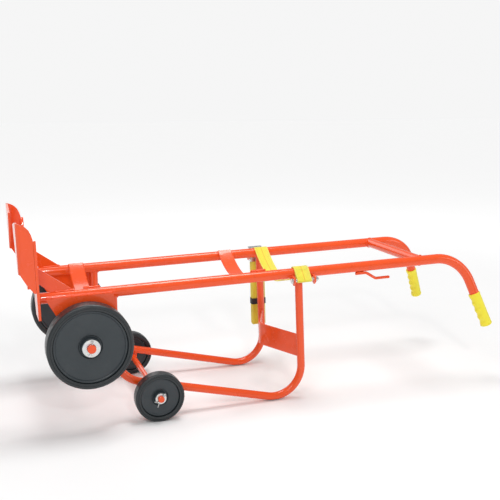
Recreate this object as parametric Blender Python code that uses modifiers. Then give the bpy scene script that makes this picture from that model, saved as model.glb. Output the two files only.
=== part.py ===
"""Four-wheel cradle dolly for a 55-gallon drum, standing on its small wheels and its two skid bends.

Frame: metres, +Z up, +X from the toe claws to the handles, +Y across, the floor at Z = 0 and the
mid-plane at Y = 0. The design is laid out from the main axle (x = 0); one empty shifts it so that the
origin lies under the middle of its length. Pieces on the sloping rails hang from a second empty.
"""
import math

import bmesh
import bpy
from mathutils import Vector

# ---------------------------------------------------------------- driving dimensions
GAP = 0.0003                 # clearance left between pieces that touch
CENTRE_X = 0.6009            # middle of the dolly's length, measured from the main axle

RAIL_Y = 0.190               # half the spacing of the side rails, legs and gussets
RAIL_OD = 0.0334
RAIL_WALL = 0.0034
RAIL_Z = 0.4044              # rail axis above the floor, over the main axle
RAIL_PITCH = math.radians(1.46)
RAIL_START = -0.1342
HANDLE_START = 1.195         # where the handle bend begins
HANDLE_RADIUS = 0.130
HANDLE_TURN = math.radians(71.0)
HANDLE_STRAIGHT = 0.166
HANDLE_SPLAY = math.radians(11.5)
CROSS_TUBE_X = 1.132

LEG_OD = 0.0254
LEG_WALL = 0.0024
LEG_FRONT_X = 0.083
LEG_REAR_X = 0.6897          # rear upright at LEG_REAR_Z
LEG_REAR_Z = 0.300
LEG_REAR_LEAN = 0.0426       # metres of X gained per metre of drop
LEG_FRONT_BEND = 0.102
LEG_REAR_BEND = 0.095
SKID_SLOPE = -0.2337
BRACE_END_X = 0.693
BRACE_APEX_X = 0.624
BRACE_THICK = 0.006
BRACE_WIDTH = 0.075
BRACE_Z = 0.1735

AXLE_Z = 0.2654              # main axle above the floor
AXLE_DIA = 0.0254
SMALL_AXLE_X = 0.2085
SMALL_AXLE_Z = 0.0762
SMALL_AXLE_DIA = 0.0191
SKID_Z_AT_AXLE = 0.1024      # skid tube axis above the small axle

# tyre radius, half width and corner, step radius, web half thickness, hub radius and half width,
# centre |Y|, washer radius, end of the axle and turn of its cotter pin
BIG_WHEEL = dict(radius=0.127, half=0.029, soft=0.007, step=0.109, web=0.018, hub=0.029, hub_half=0.033,
                 bore=AXLE_DIA / 2, y=0.2555, washer=0.0265, axle_end=0.302, pin_turn=math.radians(8))
SMALL_WHEEL = dict(radius=0.0762, half=0.019, soft=0.005, step=0.0600, web=0.011, hub=0.0195,
                   hub_half=0.022, bore=SMALL_AXLE_DIA / 2, y=0.2356, washer=0.017, axle_end=0.270,
                   pin_turn=math.radians(40))
BEARING_WALL = 0.0032
WASHER_THICK = 0.003
PIN_INSET = 0.0055           # cotter pin's distance from the end of the axle
PIN_RADIUS = 0.0019
LUG_RADIUS = 0.015
LUG_THICK = 0.010

BRACKET_IN = 0.2072          # inner face of the wheel bracket plate, on the rail's outer flank
BRACKET_THICK = 0.006
TOE_X = -0.1385              # mid-plane of the toe end plate, along the rail
TOE_THICK = 0.008
TOE_OUTSIDE = 0.250          # outer face of the toe plates and claws
CLAW_THICK = 0.006
CLAW_BEND = 0.011            # outside radius of the claw's fold
CLAW_LIP_X = -0.1885         # outer face of the claw's lip
CLAW_LIP_END = 0.120         # inner edge of the lip, before it is trimmed
GUSSET_THICK = 0.006
DRUM_RADIUS = 0.298
DRUM_AXIS_H = 0.324          # the drum's axis above the rails, at the toe
SADDLE_XS = {"front": 0.022, "rear": 0.550}
SADDLE_WIDTH = 0.0508
SADDLE_THICK = 0.006

STRAP_X = 0.690
STRAP_WIDTH = 0.050
STRAP_THICK = 0.0022
SAG = 0.075                  # the slack strap's dip between the rails
STRAP_BOLT_Y = 0.226
STRAP_BOLT_H = -0.017        # relative to the rail axis
STRAP_BOLT_R = 0.005
EAR_SPACING = 0.070
EAR_THICK = 0.005
NUT_RADIUS = 0.0085
HEAD_HEIGHT = 0.0064
NUT_HEIGHT = 0.0070
TAIL_Y = 0.2182
TAIL_PLY = 0.235             # length of one fold of the strap's spare end
TAIL_PLIES = 5
TAIL_PITCH = 0.005

BUCKLE_BASE_Y = 0.2135
BUCKLE_DEPTH = 0.030
BUCKLE_WIDTH = 0.060
BUCKLE_HEIGHT = 0.044
BUCKLE_H = -0.016
CHEEK = 0.0020
CAM_Y = 0.2274
CAM_H = -0.0020
CAM_RADIUS = 0.0068
CAM_PIN_R = 0.0025
LEVER_WIDTH = 0.052

HOOK_RADIUS = 0.0048
HOOK_LOW = -0.044            # the pail hook's open run, relative to the rail axis

GRIP_LENGTH = 0.124
GRIP_OD = 0.0386

ORANGE = (0.80, 0.105, 0.022, 1.0)
BLACK = (0.018, 0.020, 0.022, 1.0)
ZINC = (0.62, 0.64, 0.66, 1.0)
YELLOW = (0.82, 0.70, 0.030, 1.0)
WEBBING = (0.86, 0.70, 0.10, 1.0)

SIDES = {"near": -1, "far": 1}
IN_XZ = (math.radians(90), 0, 0)                    # plate outline (x, z), thickness along Y
IN_YZ = (math.radians(90), 0, math.radians(90))     # plate outline (y, z), thickness along X
FLAT = (0, 0, 0)                                    # plate outline (x, y), thickness along Z
ABOUT_Y = (math.radians(-90), 0, 0)
ALONG_Y = (math.radians(90), 0, 0)
ALONG_X = (0, math.radians(90), 0)


# ---------------------------------------------------------------- scene helpers
def clear_scene():
    for obj in list(bpy.data.objects):
        bpy.data.objects.remove(obj, do_unlink=True)


def new_collection(name):
    collection = bpy.data.collections.new(name)
    bpy.context.scene.collection.children.link(collection)
    return collection


def new_empty(name, location, rotation, parent=None):
    empty = bpy.data.objects.new(name, None)
    empty.location = location
    empty.rotation_euler = rotation
    empty.parent = parent
    parts.objects.link(empty)
    return empty


def new_material(name, colour, roughness, metallic=0.0):
    material = bpy.data.materials.new(name)
    material.use_nodes = True
    shader = material.node_tree.nodes["Principled BSDF"]
    shader.inputs["Base Color"].default_value = colour
    shader.inputs["Roughness"].default_value = roughness
    shader.inputs["Metallic"].default_value = metallic
    return material


def add_object(name, data, material, parent, location=(0, 0, 0), rotation=(0, 0, 0)):
    obj = bpy.data.objects.new(name, data)
    obj.data.materials.append(material)
    obj.parent = parent
    obj.location = location
    obj.rotation_euler = rotation
    parts.objects.link(obj)
    return obj


def to_mesh(curve_obj, weld=False):
    """Replace a curve object by a mesh object of the same name and place."""
    name = curve_obj.name
    bpy.context.view_layer.update()
    evaluated = curve_obj.evaluated_get(bpy.context.evaluated_depsgraph_get())
    mesh = bpy.data.meshes.new_from_object(evaluated)
    if weld:
        shape = bmesh.new()
        shape.from_mesh(mesh)
        bmesh.ops.remove_doubles(shape, verts=shape.verts, dist=1e-6)
        bmesh.ops.recalc_face_normals(shape, faces=shape.faces)
        shape.to_mesh(mesh)
        shape.free()
    obj = bpy.data.objects.new(name + "_mesh", mesh)
    obj.parent = curve_obj.parent
    obj.location = curve_obj.location
    obj.rotation_euler = curve_obj.rotation_euler
    parts.objects.link(obj)
    bpy.data.objects.remove(curve_obj, do_unlink=True)
    obj.name = name
    return obj


def smooth(obj, angle=40):
    obj.data.shade_smooth()
    obj.data.set_sharp_from_angle(angle=math.radians(angle))
    return obj


def path_curve(name, points, radius, resolution):
    curve = bpy.data.curves.new(name, "CURVE")
    curve.dimensions = "3D"
    curve.twist_mode = "MINIMUM"
    curve.bevel_depth = radius
    curve.bevel_resolution = resolution
    spline = curve.splines.new("POLY")
    spline.points.add(len(points) - 1)
    for slot, point in zip(spline.points, points):
        slot.co = (*point, 1.0)
    return curve


def rod(name, points, radius, material, parent, resolution=4):
    """A solid bent rod."""
    curve = path_curve(name, points, radius, resolution)
    curve.use_fill_caps = True
    return smooth(to_mesh(add_object(name, curve, material, parent), weld=True))


def tube(name, points, outer_dia, wall, material, parent, resolution=5):
    """A bent tube with its wall, open at both ends."""
    curve = path_curve(name, points, outer_dia / 2, resolution)
    obj = smooth(to_mesh(add_object(name, curve, material, parent)))
    shell = obj.modifiers.new("wall", "SOLIDIFY")
    shell.thickness = wall
    shell.offset = -1.0
    return obj


def plate(name, outline, thickness, material, parent, location, rotation, holes=()):
    """A flat plate: a closed outline, with round holes given as (u, v, radius)."""
    curve = bpy.data.curves.new(name, "CURVE")
    curve.dimensions = "2D"
    curve.fill_mode = "BOTH"
    curve.extrude = thickness / 2
    loops = [list(outline)] + [ring(u, v, radius) for u, v, radius in holes]
    for loop in loops:
        spline = curve.splines.new("POLY")
        spline.points.add(len(loop) - 1)
        for slot, (u, v) in zip(spline.points, loop):
            slot.co = (u, v, 0.0, 1.0)
        spline.use_cyclic_u = True
    return to_mesh(add_object(name, curve, material, parent, location, rotation), weld=True)


def turned(name, profile, material, parent, location, steps=24, rotation=ABOUT_Y, closed=True):
    """A turned piece: profile of (radius, distance along the axis), closed unless it ends on the axis."""
    mesh = bpy.data.meshes.new(name)
    shape = bmesh.new()
    verts = [shape.verts.new((radius, 0.0, height)) for radius, height in profile]
    for a, b in zip(verts, verts[1:]):
        shape.edges.new((a, b))
    if closed:
        shape.edges.new((verts[-1], verts[0]))
    shape.to_mesh(mesh)
    shape.free()
    obj = add_object(name, mesh, material, parent, location, rotation)
    screw = obj.modifiers.new("turn", "SCREW")
    screw.steps = steps
    screw.render_steps = steps
    screw.use_merge_vertices = True
    screw.merge_threshold = 0.00001
    screw.use_smooth_shade = True
    return obj


def cylinder(name, radius, length, material, parent, location, rotation=ALONG_Y, segments=32):
    mesh = bpy.data.meshes.new(name)
    shape = bmesh.new()
    bmesh.ops.create_cone(shape, cap_ends=True, segments=segments, radius1=radius, radius2=radius,
                          depth=length)
    shape.to_mesh(mesh)
    shape.free()
    return smooth(add_object(name, mesh, material, parent, location, rotation))


def cutter(obj):
    parts.objects.unlink(obj)
    cutters.objects.link(obj)
    obj.hide_render = True
    obj.display_type = "WIRE"
    return obj


def cut(obj, tool, operation="DIFFERENCE"):
    boolean = obj.modifiers.new("cut", "BOOLEAN")
    boolean.operation = operation
    boolean.solver = "EXACT"
    boolean.object = tool
    return obj


def ring(u, v, radius, count=24):
    return [(u + radius * math.cos(2 * math.pi * i / count), v + radius * math.sin(2 * math.pi * i / count))
            for i in range(count)]


def arc(cx, cy, radius, start, end, steps):
    """Points on an arc, angles in degrees."""
    angles = [math.radians(start + (end - start) * i / steps) for i in range(steps + 1)]
    return [(cx + radius * math.cos(a), cy + radius * math.sin(a)) for a in angles]


def fillet(before, corner, after, radius, steps):
    """Points of the arc that rounds a corner between two straight runs."""
    to_before = (Vector(before) - Vector(corner)).normalized()
    to_after = (Vector(after) - Vector(corner)).normalized()
    half = to_before.angle(to_after) / 2
    bisector = (to_before + to_after).normalized()
    centre = Vector(corner) + bisector * (radius / math.sin(half))
    first = (Vector(corner) + to_before * (radius / math.tan(half)) - centre) / radius
    last = (Vector(corner) + to_after * (radius / math.tan(half)) - centre) / radius
    return [centre + radius * first.slerp(last, i / steps) for i in range(steps + 1)]


# ---------------------------------------------------------------- rails and handles
def rail_path(side):
    """The rail's axis in the rail frame: straight, then a handle bend in a plane splayed outward."""
    along = Vector((1, 0, 0))
    down = Vector((0, side * math.sin(HANDLE_SPLAY), -math.cos(HANDLE_SPLAY)))
    start = Vector((HANDLE_START, side * RAIL_Y, 0))
    steps = 8
    bend = []
    for i in range(steps + 1):
        a = HANDLE_TURN * i / steps
        bend.append(start + HANDLE_RADIUS * (math.sin(a) * along + (1 - math.cos(a)) * down))
    tangent = math.cos(HANDLE_TURN) * along + math.sin(HANDLE_TURN) * down
    tip = bend[-1] + tangent * HANDLE_STRAIGHT
    return [Vector((RAIL_START, side * RAIL_Y, 0))] + bend + [tip], tangent


def make_rails():
    for word, side in SIDES.items():
        points, tangent = rail_path(side)
        tube(f"side_rail_{word}", points, RAIL_OD, RAIL_WALL, paint, rail_frame)
        make_grip(word, points[-1], tangent)
        guide = cylinder(f"rail_guide_{word}", RAIL_OD / 2 + GAP, 1.6, paint, rail_frame,
                         (0.5, side * RAIL_Y, 0), ALONG_X, 48)
        rail_guides[word] = cutter(guide)


def make_grip(word, tip, tangent):
    """A moulded sleeve with a closed end, slipped over the end of the handle."""
    inner = RAIL_OD / 2 + GAP
    outer = GRIP_OD / 2
    end = 0.004
    profile = [(0.0, end), (outer - 0.004, end), (outer, end - 0.003), (outer, 0.003 - GRIP_LENGTH),
               (outer - 0.001, -GRIP_LENGTH), (inner, -GRIP_LENGTH), (inner, GAP), (0.0, GAP)]
    turned(f"handle_grip_{word}", profile, vinyl, rail_frame, tip,
           rotation=tangent.to_track_quat("Z", "Y").to_euler(), closed=False)


def make_cross_members():
    ends = [(CROSS_TUBE_X, -RAIL_Y, 0), (CROSS_TUBE_X, RAIL_Y, 0)]
    cross = tube("rear_cross_tube", ends, RAIL_OD, RAIL_WALL, paint, rail_frame)
    for guide in rail_guides.values():
        cut(cross, guide)
    # drum saddles: flat bars bent to the drum, lying on the inner shoulders of the rails
    inner = DRUM_RADIUS
    outer = inner + SADDLE_THICK
    centre_h = math.sqrt((outer + GAP + RAIL_OD / 2) ** 2 - RAIL_Y ** 2)
    reach = math.degrees(math.asin(RAIL_Y / (outer + RAIL_OD / 2))) + 1.0
    lower = arc(0, centre_h, outer, 270 - reach, 270 + reach, 20)
    upper = arc(0, centre_h, inner, 270 + reach, 270 - reach, 20)
    for word, x in SADDLE_XS.items():
        plate(f"drum_saddle_{word}", lower + upper, SADDLE_WIDTH, paint, rail_frame, (x, 0, 0), IN_YZ)


# ---------------------------------------------------------------- toe end
def make_toe():
    # end plate across the rail's end, cut out along the drum; outline in (y, h) from the rail axis
    drum_edge = arc(0, DRUM_AXIS_H, DRUM_RADIUS, 301, 324, 6)
    outline = [(TOE_OUTSIDE, 0.182), (TOE_OUTSIDE - CLAW_THICK, 0.178)] + drum_edge[::-1]
    outline += [(0.150, -0.012), (0.170, -0.052), (TOE_OUTSIDE, -0.052)]
    for word, side in SIDES.items():
        end_plate = [(side * y, h) for y, h in outline]
        plate(f"toe_plate_{word}", end_plate, TOE_THICK, paint, rail_frame, (TOE_X, 0, 0), IN_YZ)
        make_claw(word, side)
        # gusset: a flat bar from the toe plate down to the top of the rail
        front = TOE_X + TOE_THICK / 2 + GAP
        bar = [(front, 0.046), (-0.086, 0.005), (-0.030, 0.005), (-0.030, 0.0155), (front, 0.093)]
        gusset = plate(f"toe_gusset_{word}", bar, GUSSET_THICK, paint, rail_frame,
                       (0, side * RAIL_Y, 0), IN_XZ)
        cut(gusset, rail_guides[word])


def make_claw(word, side):
    """A wall along the dolly whose far edge is folded inward, as a lip over the drum's rim."""
    weld_x = TOE_X - TOE_THICK / 2 - GAP
    wall = TOE_OUTSIDE - CLAW_THICK
    bend_x = CLAW_LIP_X + CLAW_BEND
    bend_y = TOE_OUTSIDE - CLAW_BEND
    outside = arc(bend_x, bend_y, CLAW_BEND, 90, 180, 5)
    inside = arc(bend_x, bend_y, CLAW_BEND - CLAW_THICK, 180, 90, 5)
    plan = [(weld_x, TOE_OUTSIDE)] + outside
    plan += [(CLAW_LIP_X, CLAW_LIP_END), (CLAW_LIP_X + CLAW_THICK, CLAW_LIP_END)]
    plan += inside + [(weld_x, wall)]
    claw = plate(f"toe_claw_{word}", [(x, side * y) for x, y in plan], 0.240, paint, rail_frame,
                 (0, 0, 0.130), FLAT)
    side_view = [(weld_x + 0.01, 0.027), (weld_x + 0.01, 0.186), (weld_x, 0.186), (-0.1464, 0.199),
                 (-0.152, 0.212), (-0.1605, 0.2215), (-0.170, 0.2275), (-0.184, 0.233), (-0.195, 0.233),
                 (-0.195, 0.088), (-0.184, 0.086), (-0.1727, 0.064), (-0.162, 0.048), (-0.149, 0.030)]
    trim = plate(f"claw_side_trim_{word}", side_view, 0.30, paint, rail_frame, (0, side * 0.2, 0), IN_XZ)
    cut(claw, cutter(trim), "INTERSECT")
    end_view = [(0.26, 0.0), (0.26, 0.245), (0.235, 0.236), (0.125, 0.216), (0.140, 0.180), (0.218, 0.060),
                (0.235, 0.0)]
    trim = plate(f"claw_end_trim_{word}", [(side * y, h) for y, h in end_view], 0.10, paint, rail_frame,
                 (-0.17, 0, 0), IN_YZ)
    cut(claw, cutter(trim), "INTERSECT")


# ---------------------------------------------------------------- legs and their brace
def leg_path(side):
    """Front upright, skid and rear upright of one leg, as one bent tube."""
    slope = Vector((1, 0, SKID_SLOPE)).normalized()
    on_skid = Vector((SMALL_AXLE_X, 0, SKID_Z_AT_AXLE))
    front_corner = on_skid + slope * ((LEG_FRONT_X - SMALL_AXLE_X) / slope.x)
    rise = (LEG_REAR_X + LEG_REAR_LEAN * (LEG_REAR_Z - SKID_Z_AT_AXLE) - SMALL_AXLE_X)
    rear_x = SMALL_AXLE_X + rise / (1 + LEG_REAR_LEAN * SKID_SLOPE)
    rear_corner = Vector((rear_x, 0, SKID_Z_AT_AXLE + SKID_SLOPE * (rear_x - SMALL_AXLE_X)))
    front_top = Vector((LEG_FRONT_X, 0, rail_height(LEG_FRONT_X)))
    top_z = rail_height(LEG_REAR_X)
    rear_top = Vector((LEG_REAR_X + LEG_REAR_LEAN * (LEG_REAR_Z - top_z), 0, top_z))
    points = [front_top]
    points += fillet(front_top, front_corner, rear_corner, LEG_FRONT_BEND, 5)
    points += fillet(front_corner, rear_corner, rear_top, LEG_REAR_BEND, 8)
    points += [rear_top]
    return [p + Vector((0, side * RAIL_Y, 0)) for p in points]


def rail_height(x):
    return RAIL_Z + x * math.tan(RAIL_PITCH)


def make_legs():
    for word, side in SIDES.items():
        leg = tube(f"leg_tube_{word}", leg_path(side), LEG_OD, LEG_WALL, paint, body_frame, 4)
        cut(leg, rail_guides[word])
    # V-shaped brace between the rear uprights, set back so that it clears a drum and a pail
    end_y = RAIL_Y - LEG_OD / 2 - 0.0005
    slant = Vector((BRACE_END_X - BRACE_APEX_X, end_y)).normalized()
    half_x = BRACE_THICK * slant.y / 2
    nose_y = 0.012
    nose_x = BRACE_APEX_X - 0.0012
    half_plan = [(BRACE_APEX_X - half_x, nose_y), (BRACE_END_X - half_x, end_y),
                 (BRACE_END_X + half_x, end_y), (BRACE_APEX_X + half_x, nose_y)]
    mirrored = [(x, -y) for x, y in reversed(half_plan)]
    plan = half_plan + [(nose_x + half_x, 0.0)] + mirrored + [(nose_x - half_x, 0.0)]
    plate("leg_brace", plan, BRACE_WIDTH, paint, body_frame, (0, 0, BRACE_Z), FLAT)


# ---------------------------------------------------------------- axles, brackets, wheels
def make_brackets():
    # bracket plate outline in (x, z): beside the rail, narrowing to a round boss at the main axle
    def beside_rail(x):
        return rail_height(x) + 0.0010
    boss = arc(0, AXLE_Z, 0.036, 205, 335, 8)
    outline = [(-0.1175, beside_rail(-0.1175))] + boss + [(0.070, 0.285), (0.086, 0.318), (0.087, 0.350)]
    outline += [(0.0815, beside_rail(0.0815))]
    centre = BRACKET_IN + BRACKET_THICK / 2
    for word, side in SIDES.items():
        plate(f"wheel_bracket_{word}", outline, BRACKET_THICK, paint, body_frame,
              (0, side * centre, 0), IN_XZ, [(0, AXLE_Z, AXLE_DIA / 2 + GAP)])
        # lug that carries the small axle under the skid tube
        x, z = SMALL_AXLE_X, SMALL_AXLE_Z
        outline_xz = [(x + LUG_RADIUS, SKID_Z_AT_AXLE), (x - LUG_RADIUS, SKID_Z_AT_AXLE)]
        outline_xz += arc(x, z, LUG_RADIUS, 180, 360, 10)
        lug = plate(f"axle_lug_{word}", outline_xz, LUG_THICK, paint, body_frame, (0, side * RAIL_Y, 0),
                    IN_XZ, [(x, z, SMALL_AXLE_DIA / 2 + GAP)])
        slope = math.atan(-SKID_SLOPE)
        skid = cylinder(f"skid_guide_{word}", LEG_OD / 2 + GAP, 0.200, paint, body_frame,
                        (x, side * RAIL_Y, SKID_Z_AT_AXLE), (0, math.radians(90) + slope, 0))
        cut(lug, cutter(skid))


def make_axle(name, x, z, wheel):
    radius = wheel["bore"]
    axle = cylinder(name, radius, 2 * wheel["axle_end"], paint, body_frame, (x, 0, z))
    for side in SIDES.values():
        hole_y = side * (wheel["axle_end"] - PIN_INSET)
        hole = cylinder(f"{name}_pin_hole", PIN_RADIUS + 0.0004, 0.06, paint, body_frame,
                        (x, hole_y, z), (0, wheel["pin_turn"], 0), 12)
        cut(axle, cutter(hole))


def make_wheel(size, x, z, wheel, word, side):
    """Tyre, moulded centre and bearing sleeve turn together; washers, spacer and pin stay."""
    pivot = wheel_frames[size, word]
    r, w, soft = wheel["radius"], wheel["half"], wheel["soft"]
    step, web, hub, hub_w = wheel["step"], wheel["web"], wheel["hub"], wheel["hub_half"]
    tyre = [(step + GAP, w - 0.003), (step + 0.004, w)]
    tyre += arc(r - soft, w - soft, soft, 0, 90, 2)[::-1] + [(r, 0.0)]
    tyre += [(rr, -yy) for rr, yy in tyre[-2::-1]]
    turned(f"{size}_tyre_{word}", tyre, rubber, pivot, (0, 0, 0))
    bore = wheel["bore"] + GAP
    sleeve = bore + BEARING_WALL
    rim_w = w - 0.006
    centre = [(step, rim_w), (step, -rim_w), (step - 0.005, -rim_w), (step - 0.008, -web)]
    centre += [(hub + 0.003, -web), (hub, -web - 0.003), (hub, -hub_w + 0.002), (hub - 0.002, -hub_w)]
    centre += [(sleeve + GAP, -hub_w), (sleeve + GAP, hub_w)]
    centre += [(rr, -yy) for rr, yy in centre[7:1:-1]]
    turned(f"{size}_wheel_centre_{word}", centre, plastic, pivot, (0, 0, 0))
    bearing = [(sleeve, hub_w), (sleeve, -hub_w), (bore, -hub_w), (bore, hub_w)]
    turned(f"{size}_bearing_{word}", bearing, zinc, pivot, (0, 0, 0), 20)
    washer_y = wheel["y"] + hub_w + GAP + WASHER_THICK / 2
    add_ring(f"{size}_washer_{word}", wheel["washer"], bore, WASHER_THICK, (x, side * washer_y, z))
    inner_face = wheel["y"] - hub_w - GAP
    stop = BRACKET_IN + BRACKET_THICK + GAP if size == "big" else RAIL_Y + LEG_OD / 2 + GAP
    length = inner_face - stop
    add_ring(f"{size}_spacer_{word}", bore + 0.005, bore, length, (x, side * (stop + length / 2), z))
    pin_y = side * (wheel["axle_end"] - PIN_INSET)
    cylinder(f"{size}_cotter_pin_{word}", PIN_RADIUS, 2 * wheel["bore"] + 0.014, zinc, body_frame,
             (x, pin_y, z), (0, wheel["pin_turn"], 0), 12)


def add_ring(name, outer, inner, thickness, place):
    half = thickness / 2
    profile = [(outer, half), (outer, -half), (inner, -half), (inner, half)]
    turned(name, profile, zinc, body_frame, place, 20)


# ---------------------------------------------------------------- strap, its brackets and its buckle
def make_strap_brackets():
    inner = RAIL_OD / 2 + GAP
    for word, side in SIDES.items():
        # U bracket: a base on the outer flank of the rail and two ears for the strap bolt
        base = side * (RAIL_Y + inner)
        reach = 0.030
        for end, x in (("front", STRAP_X - EAR_SPACING / 2), ("rear", STRAP_X + EAR_SPACING / 2)):
            ear = [(base - side * 0.012, -0.003), (base + side * 0.010, -0.003),
                   (base + side * reach, -0.010), (base + side * reach, -0.024),
                   (base + side * 0.020, -0.033), (base - side * 0.004, -0.020)]
            hole = [(side * STRAP_BOLT_Y, STRAP_BOLT_H, STRAP_BOLT_R + GAP)]
            obj = plate(f"strap_ear_{end}_{word}", ear, EAR_THICK, paint, rail_frame, (x, 0, 0), IN_YZ, hole)
            cut(obj, rail_guides[word])
        make_bolt(word, side)


def make_bolt(word, side):
    """A through bolt along X with a hexagon head at one end and a nut at the other."""
    y, h = side * STRAP_BOLT_Y, STRAP_BOLT_H
    half = EAR_SPACING / 2 + EAR_THICK / 2
    start = STRAP_X - half - GAP
    end = STRAP_X + half + 0.012
    bolt = cylinder(f"strap_bolt_{word}", STRAP_BOLT_R, end - start + 0.003, zinc, rail_frame,
                    ((start + end - 0.003) / 2, y, h), ALONG_X, 20)
    head = cylinder(f"bolt_head_{word}", NUT_RADIUS, HEAD_HEIGHT, zinc, rail_frame,
                    (start - HEAD_HEIGHT / 2, y, h), ALONG_X, 6)
    cut(bolt, cutter(head), "UNION")
    nut_x = STRAP_X + half + GAP + NUT_HEIGHT / 2
    nut = cylinder(f"strap_nut_{word}", NUT_RADIUS, NUT_HEIGHT, zinc, rail_frame, (nut_x, y, h), ALONG_X, 6)
    hole = cylinder(f"nut_hole_{word}", STRAP_BOLT_R + GAP, 0.02, zinc, rail_frame, (nut_x, y, h),
                    ALONG_X, 20)
    cut(nut, cutter(hole))


def strap_route():
    """Middle line of the slack strap in (y, h): near loop, over both rails, far buckle, folded tail."""
    over = RAIL_OD / 2 + STRAP_THICK / 2 + 0.0005
    off_rail = over * 0.64
    leave = math.atan(2 * SAG / (RAIL_Y - off_rail))
    near = [(-y, h) for y, h in arc(RAIL_Y, 0, over, 27, 90 + math.degrees(leave), 8)]
    edge_y, edge_h = near[-1]
    drop = [(edge_y * (1 - i / 8), edge_h - SAG * (1 - (1 - i / 8) ** 2)) for i in range(1, 9)]
    rise = [(-y, h) for y, h in reversed(drop[:-1])]
    far = arc(RAIL_Y, 0, over, 90 + math.degrees(leave), 48, 6)
    return near + drop + rise + far


def make_strap():
    half = STRAP_THICK / 2
    middle = strap_route()
    loop_r = STRAP_BOLT_R + 0.0005 + half
    # near end: up from the loop round the bolt; far end: down through the buckle, then a folded tail
    start = [(-STRAP_BOLT_Y + loop_r, STRAP_BOLT_H + 0.004)]
    outline = ribbon(start + middle + tail_folds(), half)
    web = plate("drum_strap", outline, STRAP_WIDTH, webbing, rail_frame, (STRAP_X, 0, 0), IN_YZ)
    eye = turned("strap_eye", [(loop_r + half, STRAP_WIDTH / 2), (loop_r + half, -STRAP_WIDTH / 2),
                               (loop_r - half, -STRAP_WIDTH / 2), (loop_r - half, STRAP_WIDTH / 2)],
                 webbing, rail_frame, (STRAP_X, -STRAP_BOLT_Y, STRAP_BOLT_H), rotation=ALONG_X)
    cut(web, cutter(eye), "UNION")


def tail_folds():
    """The spare end of the strap, pulled down through the buckle and folded to and fro below it."""
    bottom = STRAP_BOLT_H - 0.024 - TAIL_PLY
    top = bottom + TAIL_PLY
    turn = TAIL_PITCH / 2
    folds = [(TAIL_Y, 0.0095), (TAIL_Y, bottom)]
    for fold in range(TAIL_PLIES - 1):
        y = TAIL_Y + turn + fold * TAIL_PITCH
        if fold % 2 == 0:
            folds += arc(y, bottom, turn, 180, 360, 6)[1:] + [(y + turn, top)]
        else:
            folds += arc(y, top, turn, 180, 0, 6)[1:] + [(y + turn, bottom)]
    return folds


def ribbon(path, half):
    """Outline of a strip of the given half thickness along an open path."""
    left, right = [], []
    for i, (y, h) in enumerate(path):
        before = Vector(path[max(i - 1, 0)])
        after = Vector(path[min(i + 1, len(path) - 1)])
        here = Vector((y, h))
        into = (here - before).normalized() if i > 0 else (after - here).normalized()
        out = (after - here).normalized() if i < len(path) - 1 else into
        mean = (into + out).normalized()
        normal = Vector((-mean.y, mean.x))
        widen = half / max(0.5, normal.dot(Vector((-into.y, into.x))))
        left.append(tuple(here + normal * widen))
        right.append(tuple(here - normal * widen))
    return left + right[::-1]


def make_buckle():
    """Cam buckle on the far bolt: a channel, a cam lever and the lever's pin."""
    half = BUCKLE_WIDTH / 2
    lip_y = BUCKLE_BASE_Y + BUCKLE_DEPTH
    web_y = BUCKLE_BASE_Y + CHEEK
    plan = [(-half, BUCKLE_BASE_Y), (half, BUCKLE_BASE_Y), (half, lip_y), (half - CHEEK, lip_y),
            (half - CHEEK, web_y), (-half + CHEEK, web_y), (-half + CHEEK, lip_y), (-half, lip_y)]
    frame = plate("buckle_frame", plan, BUCKLE_HEIGHT, zinc, rail_frame, (STRAP_X, 0, BUCKLE_H), FLAT)
    bolt_hole = cylinder("buckle_bolt_hole", STRAP_BOLT_R + GAP, 0.08, zinc, rail_frame,
                         (STRAP_X, STRAP_BOLT_Y, STRAP_BOLT_H), ALONG_X, 20)
    cut(frame, cutter(bolt_hole))
    pin_place = (STRAP_X, CAM_Y, CAM_H)
    pin_hole = cylinder("buckle_pin_hole", CAM_PIN_R + GAP, 0.08, zinc, rail_frame, pin_place, ALONG_X, 16)
    cut(frame, cutter(pin_hole))
    cylinder("cam_pin", CAM_PIN_R, BUCKLE_WIDTH + 0.004, zinc, rail_frame, pin_place, ALONG_X, 16)
    # the lever: a cam that bears on the webbing, and a thumb plate that turns up and outward
    profile = arc(0, 0, CAM_RADIUS, 120, 300, 10)
    profile += [(0.0062, -0.002), (0.0300, 0.0120), (0.0290, 0.0142), (0.0040, 0.0062)]
    plate("cam_lever", profile, LEVER_WIDTH, zinc, cam_frame, (0, 0, 0), IN_YZ, [(0, 0, CAM_PIN_R + GAP)])


def make_pail_hook():
    """A bent rod under the near rail, open towards the handles."""
    under = -RAIL_OD / 2 - HOOK_RADIUS - GAP
    route = [(0.888, under), (0.924, under), (0.932, under - 0.003), (0.957, HOOK_LOW + 0.003),
             (0.965, HOOK_LOW), (1.014, HOOK_LOW)]
    rod("pail_hook", [(x, -RAIL_Y - 0.004, h) for x, h in route], HOOK_RADIUS, paint, rail_frame)


# ---------------------------------------------------------------- assembly
clear_scene()
parts = new_collection("drum_dolly")
cutters = new_collection("drum_dolly_cutters")
paint = new_material("orange_paint", ORANGE, 0.35)
rubber = new_material("black_rubber", BLACK, 0.6)
plastic = new_material("black_wheel_centre", BLACK, 0.5)
zinc = new_material("zinc_plate", ZINC, 0.35, 1.0)
vinyl = new_material("yellow_vinyl", YELLOW, 0.45)
webbing = new_material("yellow_webbing", WEBBING, 0.8)

body_frame = new_empty("main_axle_origin", (-CENTRE_X, 0, 0), (0, 0, 0))
rail_frame = new_empty("rail_origin", (0, 0, RAIL_Z), (0, -RAIL_PITCH, 0), body_frame)
cam_frame = new_empty("cam_pivot", (STRAP_X, CAM_Y, CAM_H), (0, 0, 0), rail_frame)
rail_guides = {}
wheel_frames = {}

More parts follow.
